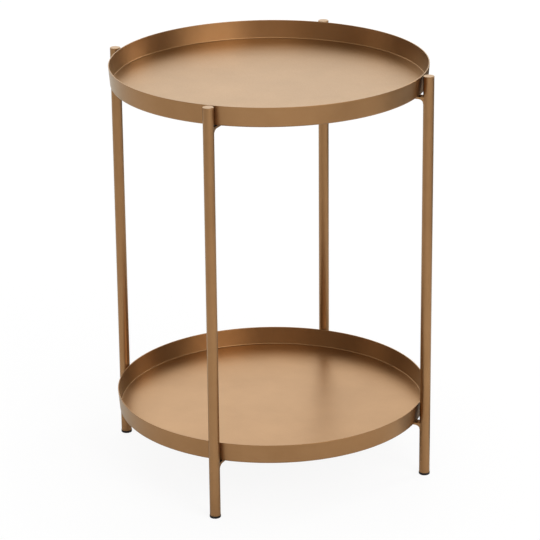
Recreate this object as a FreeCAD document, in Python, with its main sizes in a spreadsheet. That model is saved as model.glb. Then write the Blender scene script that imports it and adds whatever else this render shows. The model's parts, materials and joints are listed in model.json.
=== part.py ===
import FreeCAD, Part
import math
import os

import Sketcher

# Tiered side table: two round pressed-sheet trays tied together by four straight tube legs.
# Lengths are millimetres. The origin is on the floor under the middle of the trays, +Z is up,
# the front leg stands on -Y and the right leg on +X.

DRIVING_DIMENSIONS = (
    ("overall_height", 510.0, "floor to the upper rim, and to the leg tops level with it"),
    ("tray_diameter", 384.0, "outside of a tray at its rim"),
    ("tray_depth", 24.0, "underside of a tray's floor to its rim"),
    ("tray_draft", 2.0, "how far a tray's wall leans in from rim to base"),
    ("sheet_thickness", 1.2, "tray sheet"),
    ("bend_radius", 1.0, "inside radius between a tray's floor and wall"),
    ("rim_round", 0.4, "rounding of the two rim edges"),
    ("lower_tray_height", 70.0, "floor to the underside of the lower tray"),
    ("leg_diameter", 13.0, "leg tube, outside"),
    ("leg_wall", 1.2, "leg tube wall"),
    ("leg_gap", 1.0, "clear space between a tray's rim and a leg"),
    ("cap_thickness", 1.6, "plate that closes a leg's top"),
    ("cap_spigot_length", 6.0, "plug of that plate inside the tube"),
    ("cap_round", 0.5, "rounding of a leg's top edge"),
    ("foot_height", 3.0, "part of a foot below the tube"),
    ("foot_lip", 0.3, "how far a foot stands out past the tube"),
    ("foot_round", 1.0, "rounding of a foot's bottom edge"),
    ("foot_plug_length", 15.0, "ribbed part of a foot inside the tube"),
    ("foot_rib_height", 1.0, "ribs of a foot above their core"),
    ("foot_rib_width", 2.0, "each rib, along the leg"),
    ("plug_clearance", 0.1, "between a plug and the tube bore, all round"),
    ("tab_thickness", 2.5, "bracket tab plate"),
    ("tab_neck_step", 1.5, "how much narrower than the tube a tab is at the leg, on either side"),
    ("tab_end_diameter", 18.0, "round end of a tab about its stud"),
    ("weld_size", 6.0, "concave weld fillet under a tab, against the leg"),
    ("weld_toe", 0.3, "thickness of that weld at its lower end"),
    ("pad_thickness", 1.2, "black pad between tab and tray"),
    ("pad_margin", 0.6, "tab left bare round the end of its pad"),
    ("pad_inset", 0.5, "edge of a tray's flat underside to a pad"),
    ("stud_inset", 34.0, "edge of a tray's flat underside to a stud's axis"),
    ("stud_diameter", 5.0, "weld stud shank"),
    ("stud_flange_diameter", 7.0, "welded foot of a stud"),
    ("stud_flange_thickness", 0.8, "welded foot of a stud"),
    ("stud_tip_length", 1.6, "stud end past its nut"),
    ("stud_chamfer", 0.6, "stud end"),
    ("stud_clearance", 0.25, "between a stud and the holes it passes through, all round"),
    ("thread_clearance", 0.05, "between a stud and its nut, all round"),
    ("nut_across_flats", 8.0, "flange nut"),
    ("nut_height", 4.7, "flange nut with its flange"),
    ("nut_flange_diameter", 11.8, "flange nut"),
    ("nut_flange_thickness", 1.2, "flange nut"),
)
FOOT_RIB_COUNT = 3
FULL_TURN = 360.0
MATCH = 1e-4
LEG_ANGLES = {"front": -90.0, "right": 0.0, "back": 90.0, "left": 180.0}

doc = FreeCAD.newDocument("TieredSideTable")
sheet = doc.addObject("Spreadsheet::Sheet", "Sizes")
for row, (alias, value, meaning) in enumerate(DRIVING_DIMENSIONS, start=1):
    sheet.set(f"A{row}", meaning)
    sheet.set(f"B{row}", str(value))
    sheet.setAlias(f"B{row}", alias)
doc.recompute()

# Places and sizes that follow from the driving dimensions, as sheet expressions.
RIM_RADIUS = "Sizes.tray_diameter / 2"
BASE_RADIUS = f"({RIM_RADIUS} - Sizes.tray_draft)"
OUTER_BEND = "(Sizes.bend_radius + Sizes.sheet_thickness)"
LEG_RADIUS = "(Sizes.leg_diameter / 2)"
BORE_RADIUS = f"({LEG_RADIUS} - Sizes.leg_wall)"
PLUG_RADIUS = f"({BORE_RADIUS} - Sizes.plug_clearance)"
LEG_CIRCLE = f"({RIM_RADIUS} + Sizes.leg_gap + {LEG_RADIUS})"
LEG_LENGTH = "(Sizes.overall_height - Sizes.cap_thickness - Sizes.foot_height)"
NECK_HALF_WIDTH = f"({LEG_RADIUS} - Sizes.tab_neck_step)"
TAB_END_RADIUS = "(Sizes.tab_end_diameter / 2)"
WELD_TOE = f"({LEG_RADIUS} + Sizes.weld_toe)"
FLAT_OFFSET = f"({LEG_RADIUS} + Sizes.leg_gap + Sizes.tray_draft + {OUTER_BEND})"
STUD_OFFSET = f"({FLAT_OFFSET} + Sizes.stud_inset)"
STUD_CIRCLE = f"({LEG_CIRCLE} - {STUD_OFFSET})"
TAB_DROP = "(Sizes.pad_thickness + Sizes.tab_thickness)"
STUD_LENGTH = f"({TAB_DROP} + Sizes.nut_height + Sizes.stud_tip_length)"
TIER_UNDERSIDES = {
    "upper": "(Sizes.overall_height - Sizes.tray_depth)",
    "lower": "Sizes.lower_tray_height",
}

subparts = []


def number(expression):
    """Value of a sheet expression, in millimetres or degrees."""
    result = sheet.evalExpression(expression)
    return float(getattr(result, "Value", result))


def origin_plane(body, role):
    return next(feature for feature in body.Origin.OriginFeatures if feature.Role == role)


def new_body(name):
    body = doc.addObject("PartDesign::Body", f"Body_{name}")
    body.Label = name
    subparts.append(body)
    return body


def new_sketch(body, name, role):
    """Sketch on one of the body's own planes."""
    sketch = body.newObject("Sketcher::SketchObject", name)
    sketch.AttachmentSupport = [(origin_plane(body, role), "")]
    sketch.MapMode = "FlatFace"
    return sketch


def bind(sketch, constraint, name, expression):
    """Add a dimension to a sketch and drive it from the sheet."""
    index = sketch.addConstraint(constraint)
    sketch.renameConstraint(index, name)
    sketch.setExpression(f"Constraints.{name}", expression)


def draw_outline(sketch, corners):
    """Closed straight-sided outline; each corner is a pair of sheet expressions, none negative."""
    points = [FreeCAD.Vector(number(x), number(y), 0) for x, y in corners]
    count = len(points)
    for i in range(count):
        sketch.addGeometry(Part.LineSegment(points[i], points[(i + 1) % count]))
    for i in range(count):
        sketch.addConstraint(Sketcher.Constraint("Coincident", i, 2, (i + 1) % count, 1))
    for i, (x, y) in enumerate(corners):
        bind(sketch, Sketcher.Constraint("DistanceX", -1, 1, i, 1, points[i].x), f"x{i}", x)
        bind(sketch, Sketcher.Constraint("DistanceY", -1, 1, i, 1, points[i].y), f"y{i}", y)


def draw_circle(sketch, name, radius, centre_x="0"):
    """Circle on the sketch's X axis."""
    centre = FreeCAD.Vector(number(centre_x), 0, 0)
    circle = Part.Circle(centre, FreeCAD.Vector(0, 0, 1), number(radius))
    index = sketch.addGeometry(circle)
    if centre_x == "0":
        sketch.addConstraint(Sketcher.Constraint("Coincident", index, 3, -1, 1))
    else:
        sketch.addConstraint(Sketcher.Constraint("PointOnObject", index, 3, -1))
        offset = Sketcher.Constraint("DistanceX", -1, 1, index, 3, centre.x)
        bind(sketch, offset, f"{name}_centre", centre_x)
    bind(sketch, Sketcher.Constraint("Radius", index, number(radius)), f"{name}_radius", radius)


def pad(body, sketch, name, length):
    feature = body.newObject("PartDesign::Pad", name)
    feature.Profile = sketch
    feature.setExpression("Length", length)
    doc.recompute()
    return feature


def revolve(body, sketch, name, kind="PartDesign::Revolution"):
    """Turn a sketch all the way about its upright axis."""
    feature = body.newObject(kind, name)
    feature.Profile = sketch
    feature.ReferenceAxis = (sketch, ["V_Axis"])
    feature.Angle = FULL_TURN
    doc.recompute()
    return feature


def cut_round(body, sketch, name):
    """Cut away what a sketch sweeps when it turns about its upright axis."""
    whole = body.Shape.Volume
    revolve(body, sketch, name, "PartDesign::Groove")
    if not 0 < body.Shape.Volume < whole:
        raise RuntimeError(f"{name} cut nothing away")


def ring_edges(feature, radius, height):
    """Names of the circular edges of that radius at that height."""
    names = []
    for index, edge in enumerate(feature.Shape.Edges, start=1):
        curve = edge.Curve
        if not isinstance(curve, Part.Circle):
            continue
        level = math.isclose(curve.Center.z, height, abs_tol=MATCH)
        if level and math.isclose(curve.Radius, radius, abs_tol=MATCH):
            names.append(f"Edge{index}")
    return names


def round_edges(body, feature, names, name, radius):
    fillet = body.newObject("PartDesign::Fillet", name)
    fillet.Base = (feature, names)
    fillet.setExpression("Radius", radius)
    doc.recompute()
    return fillet


def flat_face(feature, height):
    """Name of the level face at that height."""
    for index, face in enumerate(feature.Shape.Faces, start=1):
        box = face.BoundBox
        if math.isclose(box.ZMin, height, abs_tol=MATCH) and math.isclose(box.ZMax, height, abs_tol=MATCH):
            return f"Face{index}"
    raise RuntimeError(f"no level face at {height}")


def place(part, height, circle=None, angle=0.0, turn=0.0):
    """Put a sub-part at a height, on a circle about the table's axis at an angle, turned about Z."""
    upright = FreeCAD.Vector(0, 0, 1)
    part.Placement = FreeCAD.Placement(FreeCAD.Vector(0, 0, 0), FreeCAD.Rotation(upright, turn))
    if circle is not None:
        part.setExpression("Placement.Base.x", f"{circle} * cos({angle})")
        part.setExpression("Placement.Base.y", f"{circle} * sin({angle})")
    part.setExpression("Placement.Base.z", height)


def make_tray(name, underside):
    """Drawn tray: a shallow cone frustum, rounded at its base and hollowed to the sheet's thickness."""
    body = new_body(name)
    section = new_sketch(body, f"{name}_section", "XZ_Plane")
    depth = "Sizes.tray_depth"
    draw_outline(section, [("0", "0"), (BASE_RADIUS, "0"), (RIM_RADIUS, depth), ("0", depth)])
    block = revolve(body, section, f"{name}_block")
    base_edge = ring_edges(block, number(BASE_RADIUS), 0.0)
    rounded = round_edges(body, block, base_edge, f"{name}_bend", OUTER_BEND)
    shell = body.newObject("PartDesign::Thickness", f"{name}_shell")
    shell.Base = (rounded, [flat_face(rounded, number(depth))])
    shell.Reversed = True
    shell.setExpression("Value", "Sizes.sheet_thickness")
    doc.recompute()
    rim = shell.Shape.getElement(flat_face(shell, number(depth)))
    rim_edges = []
    for edge in rim.Edges:
        rim_edges += ring_edges(shell, edge.Curve.Radius, number(depth))
    round_edges(body, shell, rim_edges, f"{name}_rim", "Sizes.rim_round")
    place(body, underside)


def make_leg(name, angle):
    """Plain round tube between its foot and its top cap."""
    body = new_body(name)
    section = new_sketch(body, f"{name}_section", "XY_Plane")
    draw_circle(section, "outside", LEG_RADIUS)
    draw_circle(section, "bore", BORE_RADIUS)
    pad(body, section, f"{name}_tube", LEG_LENGTH)
    place(body, "Sizes.foot_height", LEG_CIRCLE, angle)


def make_top_cap(name, angle):
    """Flat plate as wide as the tube, with a plug that goes into it."""
    body = new_body(name)
    plug_length = "Sizes.cap_spigot_length"
    top = f"({plug_length} + Sizes.cap_thickness)"
    section = new_sketch(body, f"{name}_section", "XZ_Plane")
    draw_outline(section, [
        ("0", "0"), (PLUG_RADIUS, "0"), (PLUG_RADIUS, plug_length),
        (LEG_RADIUS, plug_length), (LEG_RADIUS, top), ("0", top),
    ])
    turned = revolve(body, section, f"{name}_turned")
    top_edge = ring_edges(turned, number(LEG_RADIUS), number(top))
    round_edges(body, turned, top_edge, f"{name}_edge", "Sizes.cap_round")
    place(body, f"Sizes.overall_height - {top}", LEG_CIRCLE, angle)


def make_foot(name, angle):
    """Moulded end cap: a lipped disc under the tube and a ribbed plug inside it."""
    body = new_body(name)
    lip_radius = f"({LEG_RADIUS} + Sizes.foot_lip)"
    core_radius = f"({PLUG_RADIUS} - Sizes.foot_rib_height)"
    rib_pitch = f"((Sizes.foot_plug_length - Sizes.foot_rib_width) / {FOOT_RIB_COUNT})"
    seat = "Sizes.foot_height"
    corners = [("0", "0"), (lip_radius, "0"), (lip_radius, seat), (core_radius, seat)]
    for rib in range(1, FOOT_RIB_COUNT + 1):
        rib_base = f"({seat} + {rib} * {rib_pitch})"
        rib_top = f"({rib_base} + Sizes.foot_rib_width)"
        corners += [(core_radius, rib_base), (PLUG_RADIUS, rib_base), (PLUG_RADIUS, rib_top)]
        if rib < FOOT_RIB_COUNT:
            corners.append((core_radius, rib_top))
    corners.append(("0", f"({seat} + Sizes.foot_plug_length)"))
    section = new_sketch(body, f"{name}_section", "XZ_Plane")
    draw_outline(section, corners)
    turned = revolve(body, section, f"{name}_turned")
    base_edge = ring_edges(turned, number(lip_radius), 0.0)
    round_edges(body, turned, base_edge, f"{name}_edge", "Sizes.foot_round")
    place(body, "0", LEG_CIRCLE, angle)


def draw_tab_outline(sketch, end_radius, start_x=None):
    """Plate that widens from the leg at the origin to a round end about the stud.

    It starts against the leg's round, or at a straight edge where the place of one is given.
    """
    half, end_r, centre = number(NECK_HALF_WIDTH), number(end_radius), number(STUD_OFFSET)
    leg = number(LEG_RADIUS)
    start = math.sqrt(leg ** 2 - half ** 2) if start_x is None else number(start_x)
    reach = math.hypot(centre - start, half)
    bend = math.atan2(half, start - centre) - math.acos(end_r / reach)
    touch_x, touch_y = centre + end_r * math.cos(bend), end_r * math.sin(bend)
    upright = FreeCAD.Vector(0, 0, 1)
    corners = [FreeCAD.Vector(start, side * half, 0) for side in (1, -1)]
    touches = [FreeCAD.Vector(touch_x, side * touch_y, 0) for side in (1, -1)]
    upper = sketch.addGeometry(Part.LineSegment(corners[0], touches[0]))
    end_circle = Part.Circle(FreeCAD.Vector(centre, 0, 0), upright, end_r)
    end = sketch.addGeometry(Part.ArcOfCircle(end_circle, -bend, bend))
    lower = sketch.addGeometry(Part.LineSegment(touches[1], corners[1]))
    sketch.addConstraint(Sketcher.Constraint("Tangent", upper, 2, end, 2))
    sketch.addConstraint(Sketcher.Constraint("Tangent", end, 1, lower, 1))
    sketch.addConstraint(Sketcher.Constraint("PointOnObject", end, 3, -1))
    bind(sketch, Sketcher.Constraint("DistanceX", -1, 1, end, 3, centre), "end_centre", STUD_OFFSET)
    bind(sketch, Sketcher.Constraint("Radius", end, end_r), "end_radius", end_radius)
    bind(sketch, Sketcher.Constraint("DistanceY", -1, 1, upper, 1, half), "half_above", NECK_HALF_WIDTH)
    bind(sketch, Sketcher.Constraint("DistanceY", lower, 2, -1, 1, half), "half_below", NECK_HALF_WIDTH)
    if start_x is None:
        leg_circle = Part.Circle(FreeCAD.Vector(0, 0, 0), upright, leg)
        spread = math.asin(half / leg)
        edge = sketch.addGeometry(Part.ArcOfCircle(leg_circle, -spread, spread))
        sketch.addConstraint(Sketcher.Constraint("Coincident", edge, 3, -1, 1))
        bind(sketch, Sketcher.Constraint("Radius", edge, leg), "leg_radius", LEG_RADIUS)
    else:
        edge = sketch.addGeometry(Part.LineSegment(corners[1], corners[0]))
        sketch.addConstraint(Sketcher.Constraint("Vertical", edge))
        bind(sketch, Sketcher.Constraint("DistanceX", -1, 1, edge, 1, start), "start", start_x)
    sketch.addConstraint(Sketcher.Constraint("Coincident", lower, 2, edge, 1))
    sketch.addConstraint(Sketcher.Constraint("Coincident", edge, 2, upper, 1))


def draw_under_tab(sketch):
    """Space under a tab: it runs out past the tab's end and rounds down to the weld's lower end."""
    toe, size = number(WELD_TOE), number("Sizes.weld_size")
    beyond = f"({STUD_OFFSET} + Sizes.tab_end_diameter)"
    far = number(beyond)
    circle = Part.Circle(FreeCAD.Vector(toe + size, 0, 0), FreeCAD.Vector(0, 0, 1), size)
    hollow = sketch.addGeometry(Part.ArcOfCircle(circle, math.pi / 2, math.pi))
    points = [FreeCAD.Vector(x, y, 0) for x, y in ((toe + size, size), (far, size), (far, 0), (toe, 0))]
    top, side, base = (sketch.addGeometry(Part.LineSegment(points[i], points[i + 1])) for i in range(3))
    sketch.addConstraint(Sketcher.Constraint("Coincident", hollow, 1, top, 1))
    sketch.addConstraint(Sketcher.Constraint("Coincident", top, 2, side, 1))
    sketch.addConstraint(Sketcher.Constraint("Coincident", side, 2, base, 1))
    sketch.addConstraint(Sketcher.Constraint("Coincident", base, 2, hollow, 2))
    sketch.addConstraint(Sketcher.Constraint("Horizontal", top))
    sketch.addConstraint(Sketcher.Constraint("Vertical", side))
    sketch.addConstraint(Sketcher.Constraint("PointOnObject", base, 1, -1))
    sketch.addConstraint(Sketcher.Constraint("PointOnObject", base, 2, -1))
    sketch.addConstraint(Sketcher.Constraint("PointOnObject", hollow, 3, -1))
    sketch.addConstraint(Sketcher.Constraint("Vertical", hollow, 3, hollow, 1))
    bind(sketch, Sketcher.Constraint("Radius", hollow, size), "weld_radius", "Sizes.weld_size")
    bind(sketch, Sketcher.Constraint("DistanceX", -1, 1, base, 2, toe), "toe", WELD_TOE)
    bind(sketch, Sketcher.Constraint("DistanceX", -1, 1, base, 1, far), "beyond", beyond)


def make_bracket(name, underside, angle):
    """Tab plate with its weld fillet; its own origin is on the leg's axis at the weld's lower end."""
    body = new_body(name)
    outline = new_sketch(body, f"{name}_outline", "XY_Plane")
    draw_tab_outline(outline, TAB_END_RADIUS)
    draw_circle(outline, "hole", "Sizes.stud_diameter / 2 + Sizes.stud_clearance", STUD_OFFSET)
    pad(body, outline, f"{name}_block", "Sizes.tab_thickness + Sizes.weld_size")
    under = new_sketch(body, f"{name}_under_section", "XZ_Plane")
    draw_under_tab(under)
    cut_round(body, under, f"{name}_under")
    place(body, f"{underside} - {TAB_DROP} - Sizes.weld_size", LEG_CIRCLE, angle, angle + FULL_TURN / 2)


def make_pad(name, underside, angle):
    """Thin black pad between a tab and the flat of its tray, clear of the stud's welded foot."""
    body = new_body(name)
    outline = new_sketch(body, f"{name}_outline", "XY_Plane")
    start = f"({FLAT_OFFSET} + Sizes.pad_inset)"
    draw_tab_outline(outline, f"({TAB_END_RADIUS} - Sizes.pad_margin)", start)
    draw_circle(outline, "hole", "Sizes.stud_flange_diameter / 2 + Sizes.stud_clearance", STUD_OFFSET)
    pad(body, outline, f"{name}_sheet", "Sizes.pad_thickness")
    place(body, f"{underside} - Sizes.pad_thickness", LEG_CIRCLE, angle, angle + FULL_TURN / 2)


def make_stud(name, underside, angle):
    """Stud welded under a tray by its flange, pointing down; its own origin is at its tip."""
    body = new_body(name)
    shank = "(Sizes.stud_diameter / 2)"
    flange = "(Sizes.stud_flange_diameter / 2)"
    flange_base = f"({STUD_LENGTH} - Sizes.stud_flange_thickness)"
    section = new_sketch(body, f"{name}_section", "XZ_Plane")
    draw_outline(section, [
        ("0", "0"), (f"({shank} - Sizes.stud_chamfer)", "0"), (shank, "Sizes.stud_chamfer"),
        (shank, flange_base), (flange, flange_base), (flange, STUD_LENGTH), ("0", STUD_LENGTH),
    ])
    revolve(body, section, f"{name}_turned")
    place(body, f"{underside} - {STUD_LENGTH}", STUD_CIRCLE, angle)


def make_nut(name, underside, angle):
    """Hexagon flange nut, flange up against the tab; its own origin is at its lower face."""
    hexagon = doc.addObject("Part::Prism", f"{name}_hexagon")
    hexagon.Polygon = 6
    hexagon.setExpression("Circumradius", "Sizes.nut_across_flats / sqrt(3)")
    hexagon.setExpression("Height", "Sizes.nut_height")
    flange = doc.addObject("Part::Cylinder", f"{name}_flange")
    flange.setExpression("Radius", "Sizes.nut_flange_diameter / 2")
    flange.setExpression("Height", "Sizes.nut_flange_thickness")
    flange.setExpression("Placement.Base.z", "Sizes.nut_height - Sizes.nut_flange_thickness")
    blank = doc.addObject("Part::Fuse", f"{name}_blank")
    blank.Base = hexagon
    blank.Tool = flange
    bore = doc.addObject("Part::Cylinder", f"{name}_bore")
    bore.setExpression("Radius", "Sizes.stud_diameter / 2 + Sizes.thread_clearance")
    bore.setExpression("Height", "Sizes.nut_height")
    nut = doc.addObject("Part::Cut", f"Cut_{name}")
    nut.Base = blank
    nut.Tool = bore
    nut.Label = name
    subparts.append(nut)
    place(nut, f"{underside} - {TAB_DROP} - Sizes.nut_height", STUD_CIRCLE, angle)


def check_document():
    """Stop on any failed feature and on any sub-part that is not one sound solid."""
    for item in doc.Objects:
        if "Invalid" in item.State or "Error" in item.State:
            raise RuntimeError(f"{item.Name} failed: {item.State}")
    for part in subparts:
        shape = part.Shape
        if shape.isNull() or not shape.isValid() or len(shape.Solids) != 1:
            raise RuntimeError(f"{part.Label} is not one sound solid")


def write_parts():
    os.makedirs("parts", exist_ok=True)
    for part in subparts:
        part.Shape.exportStep(f"parts/{part.Label}.step")
        box = part.Shape.BoundBox
        print(f"{part.Label}: {part.Shape.Volume:.1f} mm3, z {box.ZMin:.2f} to {box.ZMax:.2f}")


for tier, underside in TIER_UNDERSIDES.items():
    make_tray(f"{tier}_tray", underside)
for side, angle in LEG_ANGLES.items():
    make_leg(f"{side}_leg", angle)
    make_top_cap(f"{side}_leg_top_cap", angle)
    make_foot(f"{side}_foot", angle)
    for tier, underside in TIER_UNDERSIDES.items():
        make_bracket(f"{tier}_{side}_bracket", underside, angle)
        make_pad(f"{tier}_{side}_pad", underside, angle)
        make_stud(f"{tier}_{side}_stud", underside, angle)
        make_nut(f"{tier}_{side}_nut", underside, angle)
doc.recompute()
check_document()
write_parts()
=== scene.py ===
import json
import math

import bpy
from mathutils import Matrix, Vector


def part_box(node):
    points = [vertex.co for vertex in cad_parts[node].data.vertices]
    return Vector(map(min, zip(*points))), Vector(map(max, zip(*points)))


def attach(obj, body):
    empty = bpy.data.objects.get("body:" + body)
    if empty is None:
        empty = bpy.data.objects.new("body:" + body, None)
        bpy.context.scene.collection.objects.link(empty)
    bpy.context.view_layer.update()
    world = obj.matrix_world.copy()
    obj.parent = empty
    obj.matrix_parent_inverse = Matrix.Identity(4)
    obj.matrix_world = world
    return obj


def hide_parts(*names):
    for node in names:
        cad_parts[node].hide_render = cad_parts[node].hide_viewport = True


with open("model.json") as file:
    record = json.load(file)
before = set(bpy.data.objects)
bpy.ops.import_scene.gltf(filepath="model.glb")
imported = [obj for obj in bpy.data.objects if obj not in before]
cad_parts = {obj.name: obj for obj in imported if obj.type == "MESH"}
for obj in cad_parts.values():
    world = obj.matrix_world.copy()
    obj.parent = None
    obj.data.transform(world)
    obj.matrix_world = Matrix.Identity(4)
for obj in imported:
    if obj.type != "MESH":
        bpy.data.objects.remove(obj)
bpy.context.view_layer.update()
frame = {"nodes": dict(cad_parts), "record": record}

# The camera stands at the photograph's place: lengths in metres, angles in degrees.
CAMERA_AZIMUTH = 20.28
CAMERA_DISTANCE = 3.0769
CAMERA_HEIGHT = 1.3795
CAMERA_PITCH = 20.25
CAMERA_YAW = -0.02
CAMERA_ROLL = 0.56
FOCAL_PIXELS = 2668.9
IMAGE_PIXELS = 540
SENSOR_WIDTH_MM = 36.0
CLIP_END = 100.0

# The trays' sheet in metres; a tray's outer size and place come from the frame.
SHEET_THICKNESS = 0.0012
TRAY_DRAFT = 0.002
BEND_RADIUS = 0.001
RIM_ROUND = 0.0004
TRAY_SIDES = 288
ARC_STEPS = 8

# The part of a noise's 0 to 1 range that ramp() spreads out.
NOISE_LOW = 0.3
NOISE_HIGH = 0.7

# The studio: lengths in metres, and brightness as a share of plain white.
WHITE = (1.0, 1.0, 1.0, 1.0)
FLOOR_SIZE = 14.0
FLOOR_GREY = 0.9
WORLD_LEVEL = 0.23
WHITE_TO_CAMERA = 0.9
FLOOR_WHITE_TO_REFLECTIONS = 0.03
WORLD_WHITE_TO_REFLECTIONS = 0.02
LIGHT_TARGET = Vector((0.0, 0.0, 0.25))
CARD_HEIGHT = 0.42
CARD_LIFT = 0.002


def new_material(name):
    """A fresh material; returns it with its node tree and its surface shader."""
    material = bpy.data.materials.new(name)
    material.use_nodes = True
    tree = material.node_tree
    return material, tree, tree.nodes["Principled BSDF"]


def noise(tree, cells_per_metre, detail, roughness=0.5):
    """Noise in the object's own metres."""
    place = tree.nodes.new("ShaderNodeTexCoord")
    texture = tree.nodes.new("ShaderNodeTexNoise")
    texture.inputs["Scale"].default_value = cells_per_metre
    texture.inputs["Detail"].default_value = detail
    texture.inputs["Roughness"].default_value = roughness
    tree.links.new(place.outputs["Object"], texture.inputs["Vector"])
    return texture.outputs["Fac"]


def ramp(tree, value, low, high):
    """Spread a noise between two numbers."""
    node = tree.nodes.new("ShaderNodeMapRange")
    node.inputs["From Min"].default_value = NOISE_LOW
    node.inputs["From Max"].default_value = NOISE_HIGH
    node.inputs["To Min"].default_value = low
    node.inputs["To Max"].default_value = high
    tree.links.new(value, node.inputs["Value"])
    return node.outputs["Result"]


def mix_colour(tree, factor, first, second):
    """Blend from the first colour to the second as the factor goes from 0 to 1."""
    node = tree.nodes.new("ShaderNodeMix")
    node.data_type = "RGBA"
    node.inputs["A"].default_value = (*first, 1.0)
    node.inputs["B"].default_value = (*second, 1.0)
    tree.links.new(factor, node.inputs["Factor"])
    return node.outputs["Result"]


def bump(tree, height, distance):
    """Surface normal of a height map whose full swing is the distance, in metres."""
    node = tree.nodes.new("ShaderNodeBump")
    node.inputs["Distance"].default_value = distance
    node.inputs["Strength"].default_value = 1.0
    tree.links.new(height, node.inputs["Height"])
    return node.outputs["Normal"]


def gold_paint():
    """Satin metallic paint: a warm bronze gold with fine flake and a faint mottle."""
    dark_gold = (0.300, 0.161, 0.069)
    light_gold = (0.342, 0.188, 0.084)
    glancing_tint = (0.88, 0.95, 0.93, 1.0)
    material, tree, shader = new_material("gold_paint_look")
    mottle = noise(tree, cells_per_metre=14.0, detail=6.0, roughness=0.65)
    colour = mix_colour(tree, ramp(tree, mottle, low=0.0, high=1.0), dark_gold, light_gold)
    tree.links.new(colour, shader.inputs["Base Color"])
    flake = noise(tree, cells_per_metre=900.0, detail=2.0)
    tree.links.new(ramp(tree, flake, low=0.33, high=0.39), shader.inputs["Roughness"])
    tree.links.new(bump(tree, flake, distance=0.00002), shader.inputs["Normal"])
    shader.inputs["Metallic"].default_value = 1.0
    shader.inputs["Specular Tint"].default_value = glancing_tint
    return material


def black_plastic():
    """Matt moulded plastic of the feet."""
    black = (0.003, 0.003, 0.003)
    warm_black = (0.010, 0.009, 0.008)
    material, tree, shader = new_material("black_plastic_look")
    grain = noise(tree, cells_per_metre=1500.0, detail=3.0)
    tree.links.new(mix_colour(tree, grain, black, warm_black), shader.inputs["Base Color"])
    tree.links.new(ramp(tree, grain, low=0.5, high=0.7), shader.inputs["Roughness"])
    tree.links.new(bump(tree, grain, distance=0.00004), shader.inputs["Normal"])
    shader.inputs["Specular IOR Level"].default_value = 0.25
    return material


def black_rubber():
    """Matt rubber of the pads under the trays."""
    black = (0.004, 0.004, 0.004)
    warm_black = (0.012, 0.011, 0.010)
    material, tree, shader = new_material("black_rubber_look")
    grain = noise(tree, cells_per_metre=2200.0, detail=4.0)
    tree.links.new(mix_colour(tree, grain, black, warm_black), shader.inputs["Base Color"])
    tree.links.new(ramp(tree, grain, low=0.7, high=0.9), shader.inputs["Roughness"])
    tree.links.new(bump(tree, grain, distance=0.00005), shader.inputs["Normal"])
    return material


def zinc_steel():
    """Bright zinc plate of the studs and nuts, with a fine spangle."""
    cool_grey = (0.42, 0.43, 0.45)
    warm_grey = (0.60, 0.60, 0.58)
    material, tree, shader = new_material("zinc_steel_look")
    spangle = noise(tree, cells_per_metre=700.0, detail=3.0)
    tree.links.new(mix_colour(tree, spangle, cool_grey, warm_grey), shader.inputs["Base Color"])
    tree.links.new(ramp(tree, spangle, low=0.25, high=0.42), shader.inputs["Roughness"])
    shader.inputs["Metallic"].default_value = 1.0
    return material


def matt_grey(name, grey):
    """Plain grey without gloss; returns what new_material() does."""
    material, tree, shader = new_material(name)
    shader.inputs["Base Color"].default_value = (grey, grey, grey, 1.0)
    shader.inputs["Roughness"].default_value = 1.0
    shader.inputs["Specular IOR Level"].default_value = 0.0
    return material, tree, shader


def make_looks():
    """The material of each of the record's slots."""
    return {
        "gold_paint": gold_paint(),
        "black_plastic": black_plastic(),
        "black_rubber": black_rubber(),
        "zinc_steel": zinc_steel(),
    }


def dress_nodes(looks):
    """Give each CAD node the material of its slot."""
    for part in frame["record"]["subparts"]:
        node = frame["nodes"][part["node"]]
        node.material_slots[0].material = looks[part["material_slot"]]


def new_object(name, mesh, material):
    """A mesh in the scene, in one material."""
    mesh.materials.append(material)
    item = bpy.data.objects.new(name, mesh)
    bpy.context.scene.collection.objects.link(item)
    return item


def four_corners(name, corners):
    """Mesh of one flat face."""
    mesh = bpy.data.meshes.new(name)
    mesh.from_pydata(corners, [], [(0, 1, 2, 3)])
    return mesh


def arc(centre, radius, start, end, inwards=False):
    """Points of a section's arc from one angle to another, each with the surface's normal."""
    side = -1.0 if inwards else 1.0
    points = []
    for step in range(ARC_STEPS + 1):
        angle = start + (end - start) * step / ARC_STEPS
        out, up = math.cos(angle), math.sin(angle)
        points.append((centre[0] + radius * out, centre[1] + radius * up, side * out, side * up))
    return points


def tray_section(reach, depth):
    """Half section of a tray, from the middle of its underside over the rim to the middle of its floor."""
    quarter = math.pi / 2
    lean = math.atan2(TRAY_DRAFT, depth)
    blunt = math.tan((quarter - lean) / 2)
    sharp = math.tan((quarter + lean) / 2)
    outer_bend = BEND_RADIUS + SHEET_THICKNESS
    rim_outside = reach - RIM_ROUND
    rim_edge = rim_outside + RIM_ROUND * sharp
    rim_inside = rim_edge - SHEET_THICKNESS / math.cos(lean) + RIM_ROUND * blunt
    rim_level = depth - RIM_ROUND
    flat = rim_edge - TRAY_DRAFT - outer_bend * blunt
    section = [(flat / 2, 0.0, 0.0, -1.0)]
    section += arc((flat, outer_bend), outer_bend, -quarter, -lean)
    section += arc((rim_outside, rim_level), RIM_ROUND, -lean, quarter)
    section += arc((rim_inside, rim_level), RIM_ROUND, quarter, 2 * quarter - lean)
    section += arc((flat, outer_bend), BEND_RADIUS, -lean, -quarter, inwards=True)
    section.append((flat / 2, SHEET_THICKNESS, 0.0, 1.0))
    return section


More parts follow.
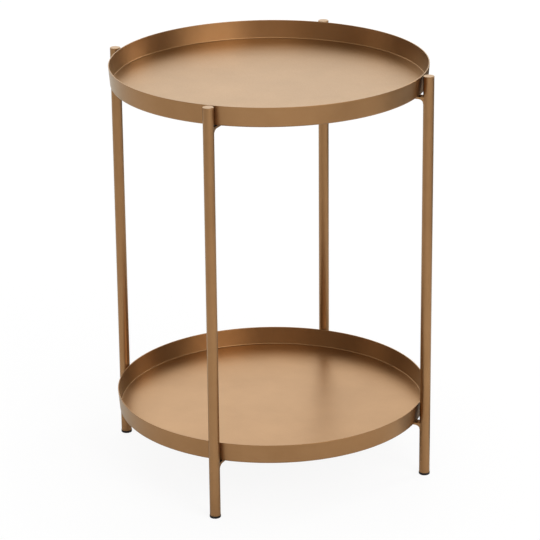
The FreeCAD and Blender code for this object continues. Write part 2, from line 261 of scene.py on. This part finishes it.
def turned_sheet(name, section, base):
    """Closed mesh of a tray's section turned about the upright axis, with the section's own normals."""
    vertices, normals, faces = [], [], []
    for radius, level, out, up in section:
        for side in range(TRAY_SIDES):
            angle = 2 * math.pi * side / TRAY_SIDES
            x, y = math.cos(angle), math.sin(angle)
            vertices.append((radius * x, radius * y, base + level))
            normals.append((out * x, out * y, up))
    underside, floor = len(vertices), len(vertices) + 1
    vertices += [(0.0, 0.0, base), (0.0, 0.0, base + SHEET_THICKNESS)]
    normals += [(0.0, 0.0, -1.0), (0.0, 0.0, 1.0)]
    last = (len(section) - 1) * TRAY_SIDES
    for side in range(TRAY_SIDES):
        after = (side + 1) % TRAY_SIDES
        faces.append((underside, after, side))
        faces.append((floor, last + side, last + after))
        for ring in range(0, last, TRAY_SIDES):
            above = ring + TRAY_SIDES
            faces.append((ring + side, ring + after, above + after, above + side))
    mesh = bpy.data.meshes.new(name)
    mesh.from_pydata(vertices, [], faces)
    mesh.shade_smooth()
    mesh.normals_split_custom_set_from_vertices(normals)
    return mesh


def make_tray(node, look):
    """Finely turned sheet that stands for a tray's solid, so that its bends reflect evenly."""
    low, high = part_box(node)
    section = tray_section(high[0], high[2] - low[2])
    name = f"{node}_sheet"
    piece = new_object(name, turned_sheet(name, section, low[2]), look)
    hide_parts(node)
    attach(piece, "root")


def seen_as_background(tree, to_camera, to_reflections):
    """How much of plain white a background shows to the camera, and to reflections and glass."""
    path = tree.nodes.new("ShaderNodeLightPath")
    shares = []
    for ray, share in (("Is Camera Ray", to_camera), ("Is Glossy Ray", to_reflections),
                       ("Is Transmission Ray", to_reflections)):
        node = tree.nodes.new("ShaderNodeMath")
        node.operation = "MULTIPLY"
        node.inputs[1].default_value = share
        tree.links.new(path.outputs[ray], node.inputs[0])
        shares.append(node.outputs["Value"])
    total = shares[0]
    for share in shares[1:]:
        node = tree.nodes.new("ShaderNodeMath")
        node.operation = "MAXIMUM"
        tree.links.new(total, node.inputs[0])
        tree.links.new(share, node.inputs[1])
        total = node.outputs["Value"]
    return total


def make_floor():
    """Pale floor that looks nearly white to the camera and still takes the table's shadow."""
    material, tree, shader = matt_grey("floor_white", FLOOR_GREY)
    white = tree.nodes.new("ShaderNodeEmission")
    white.inputs["Color"].default_value = WHITE
    white.inputs["Strength"].default_value = 1.0
    share = seen_as_background(tree, WHITE_TO_CAMERA, FLOOR_WHITE_TO_REFLECTIONS)
    blend = tree.nodes.new("ShaderNodeMixShader")
    tree.links.new(share, blend.inputs["Fac"])
    tree.links.new(shader.outputs["BSDF"], blend.inputs[1])
    tree.links.new(white.outputs["Emission"], blend.inputs[2])
    tree.links.new(blend.outputs["Shader"], tree.nodes["Material Output"].inputs["Surface"])
    half = FLOOR_SIZE / 2
    corners = [(-half, -half, 0), (half, -half, 0), (half, half, 0), (-half, half, 0)]
    floor = new_object("floor", four_corners("floor", corners), material)


def make_world():
    """Even grey surroundings that look nearly white to the camera."""
    world = bpy.data.worlds.new("studio")
    world.use_nodes = True
    tree = world.node_tree
    level = tree.nodes.new("ShaderNodeMapRange")
    level.inputs["To Min"].default_value = WORLD_LEVEL
    level.inputs["To Max"].default_value = 1.0
    share = seen_as_background(tree, WHITE_TO_CAMERA, WORLD_WHITE_TO_REFLECTIONS)
    tree.links.new(share, level.inputs["Value"])
    background = tree.nodes["Background"]
    background.inputs["Color"].default_value = WHITE
    tree.links.new(level.outputs["Result"], background.inputs["Strength"])
    bpy.context.scene.world = world


def from_camera(right, away, up):
    """A point given in the camera's own right, away and up, in the table's frame."""
    return Matrix.Rotation(math.radians(CAMERA_AZIMUTH), 3, "Z") @ Vector((right, away, up))


def area_light(name, place, size, power):
    """Soft light aimed at the table's middle; its place is in the camera's right, away and up."""
    data = bpy.data.lights.new(name, "AREA")
    data.shape = "RECTANGLE"
    data.size, data.size_y = size
    data.energy = power
    light = bpy.data.objects.new(name, data)
    light.location = from_camera(*place)
    light.rotation_mode = "QUATERNION"
    light.rotation_quaternion = (LIGHT_TARGET - light.location).to_track_quat("-Z", "Y")
    light.visible_camera = False
    bpy.context.scene.collection.objects.link(light)


def make_lights():
    """Lights above and all round the table, stronger on the camera's right than on its left."""
    area_light("top", place=(0.0, 0.0, 3.2), size=(4.0, 4.0), power=34.0)
    area_light("front", place=(-0.6, -3.4, 2.2), size=(2.6, 1.6), power=31.6)
    area_light("front_right", place=(2.45, -3.8, 2.0), size=(2.0, 2.2), power=59.4)
    area_light("high_front_right", place=(1.2, -1.85, 2.3), size=(1.0, 1.4), power=13.8)
    area_light("right_front", place=(3.6, -2.5, 1.9), size=(1.8, 2.2), power=45.3)
    area_light("right_back", place=(2.65, 1.41, 1.4), size=(1.0, 1.6), power=28.9)
    area_light("back", place=(-0.2, 2.4, 1.4), size=(3.0, 2.2), power=37.4)
    area_light("back_left", place=(-2.0, 1.8, 1.4), size=(1.2, 2.0), power=7.9)
    area_light("left", place=(-2.6, 0.0, 1.2), size=(1.0, 2.0), power=8.3)
    area_light("left_front", place=(-2.0, -1.8, 1.3), size=(1.2, 1.8), power=3.2)


def dark_card(name, corners, grey):
    """Card that shows only in reflections; its corners are in the camera's right, away and up."""
    material = matt_grey(f"{name}_grey", grey)[0]
    places = [from_camera(*corner) for corner in corners]
    card = new_object(name, four_corners(name, places), material)
    card.visible_camera = False
    card.visible_diffuse = False
    card.visible_shadow = False


def standing_card(name, start, end, grey):
    """Dark card that stands on the floor along a line."""
    corners = [(*start, 0.0), (*end, 0.0), (*end, CARD_HEIGHT), (*start, CARD_HEIGHT)]
    dark_card(name, corners, grey)


def painted_shadow_card(name, outline, grey):
    """Painted shadow: a dark card that lies just above the floor and shows only in reflections."""
    dark_card(name, [(*corner, CARD_LIFT) for corner in outline], grey)


def make_cards():
    """Two cards that stand on the camera's right, and two that lie on the floor on that side as painted
    shadow of the table, seen only in reflections.
    """
    near, between, far = (1.15, -0.2), (0.70, 0.61), (0.20, 1.5)
    standing_card("near_card", near, between, grey=0.45)
    standing_card("far_card", between, far, grey=0.06)
    front = ((0.5, -1.6), (1.9, -1.6), (1.9, -0.3), (0.9, -0.55))
    side = ((0.20, -0.02), (0.36, -0.06), (0.36, 0.26), (0.20, 0.26))
    # The lying cards are painted shadow: they darken the floor on the camera's right only where the metal
    # reflects it.
    painted_shadow_card("front_painted_floor_shadow", front, grey=0.40)
    painted_shadow_card("side_painted_floor_shadow", side, grey=0.25)


def make_camera():
    """Camera with the photograph's place, direction and angle of view."""
    data = bpy.data.cameras.new("camera")
    data.sensor_width = SENSOR_WIDTH_MM
    data.lens = FOCAL_PIXELS / IMAGE_PIXELS * SENSOR_WIDTH_MM
    data.clip_end = CLIP_END
    camera = bpy.data.objects.new("camera", data)
    turn = Matrix.Rotation(math.radians(CAMERA_AZIMUTH - CAMERA_YAW), 4, "Z")
    tilt = Matrix.Rotation(math.radians(90.0 - CAMERA_PITCH), 4, "X")
    roll = Matrix.Rotation(math.radians(-CAMERA_ROLL), 4, "Z")
    place = Matrix.Translation(from_camera(0.0, -CAMERA_DISTANCE, CAMERA_HEIGHT))
    camera.matrix_world = place @ turn @ tilt @ roll
    bpy.context.scene.collection.objects.link(camera)
    bpy.context.scene.camera = camera


looks = make_looks()
dress_nodes(looks)
for tray in ("upper_tray", "lower_tray"):
    make_tray(tray, looks["gold_paint"])
make_floor()
make_world()
make_lights()
make_cards()
make_camera()
bpy.context.scene.view_settings.view_transform = "Standard"
